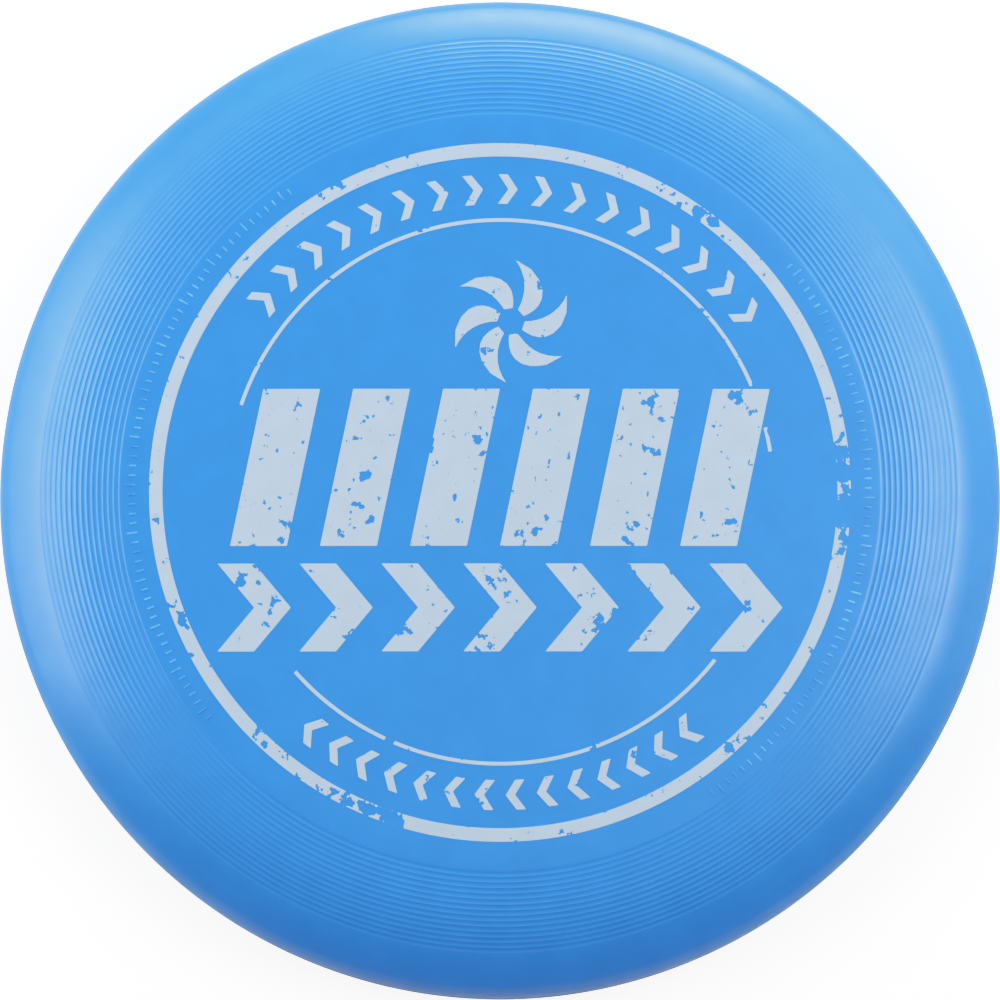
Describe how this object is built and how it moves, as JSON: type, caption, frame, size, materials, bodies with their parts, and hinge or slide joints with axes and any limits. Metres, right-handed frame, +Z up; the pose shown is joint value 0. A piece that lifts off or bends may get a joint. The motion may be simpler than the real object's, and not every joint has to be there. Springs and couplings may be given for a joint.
{
  "type": "flying disc",
  "caption": "Round flying disc with a shallow dome, a finely grooved shoulder, a smooth rounded rim open underneath, and a worn pale badge print on its flight plate.",
  "frame": {"origin": "centre of the disc, on the plane that the rim's lower edge rests on", "axes": "+Z up through the flight plate, +Y towards the top of the print, +X to the right of the print"},
  "size_m": [0.274, 0.274, 0.032],
  "materials": {
    "disc_plastic": "satin moulded polyethylene, sky blue, slightly translucent, finely grooved on the shoulder",
    "print_ink": "one-colour printed film, pale grey-blue, with worn and chipped edges"
  },
  "bodies": {
    "root": {"disc_body": "disc_plastic", "print_border_ring": "print_ink", "print_thin_arcs": "print_ink", "print_upper_band": "print_ink", "print_lower_band": "print_ink", "print_pinwheel": "print_ink", "print_slanted_bars": "print_ink", "print_chevron_row": "print_ink"}
  },
  "joints": []
}
